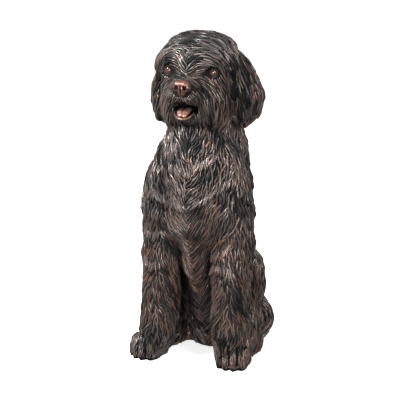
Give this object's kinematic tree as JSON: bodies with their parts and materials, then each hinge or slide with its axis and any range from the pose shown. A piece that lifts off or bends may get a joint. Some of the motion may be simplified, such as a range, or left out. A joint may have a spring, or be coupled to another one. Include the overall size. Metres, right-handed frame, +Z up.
{
  "type": "dog statue",
  "caption": "Seated long-haired dog with hanging ears and open mouth, cast as one garden statue with a rubbed dark bronze finish, resting on its paws and flat underside.",
  "frame": {"origin": "middle of the outline seen from above, on the flat underside", "axes": "+Z up, the dog faces -Y, its left side is +X"},
  "size_m": [0.2585, 0.3715, 0.6587],
  "materials": {
    "body": "hand-rubbed dark bronze paint on cast resin, semi-gloss on the tops of the locks"
  },
  "bodies": {
    "root": {"dog_statue": "body"}
  },
  "joints": []
}
